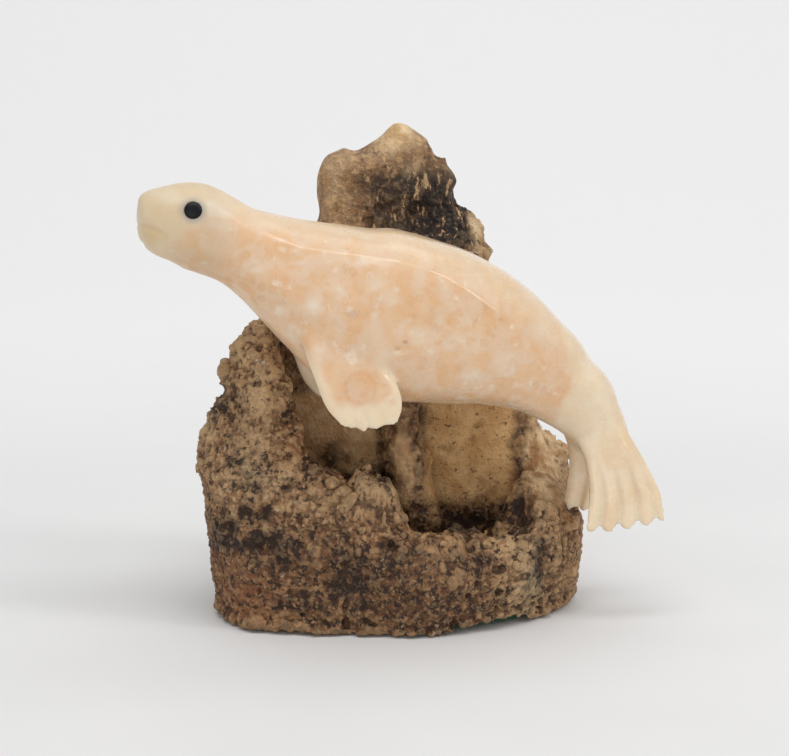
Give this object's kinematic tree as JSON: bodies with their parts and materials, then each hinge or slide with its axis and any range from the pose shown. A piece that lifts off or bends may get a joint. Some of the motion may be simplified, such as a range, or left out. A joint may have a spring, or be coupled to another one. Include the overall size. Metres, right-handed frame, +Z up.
{
  "type": "seal carving",
  "caption": "Small polished tusk carving of a seal, glued by its flank to a rough, crumbling base with a hollow in front, a peak behind and felt below.",
  "frame": {"origin": "on the underside of the felt pad, under the middle of the base's foot", "axes": "+Z up, +X towards the seal's hind flippers, so its head is on the -X side, and -Y towards the front, the side that the seal hangs on"},
  "size_m": [0.0715, 0.038, 0.069],
  "materials": {
    "rough_stone": "coarse, sugary crystal crust in tan and honey, stained brown, purple-brown and black",
    "felt": "short green felt",
    "tusk": "polished tusk: cream at head, tail and flippers, peach with a bubbly core grain on the flanks",
    "eye": "polished black plug"
  },
  "bodies": {
    "root": {"base": "rough_stone", "felt_pad": "felt", "seal": "tusk", "eye_right": "eye", "eye_left": "eye"}
  },
  "joints": []
}
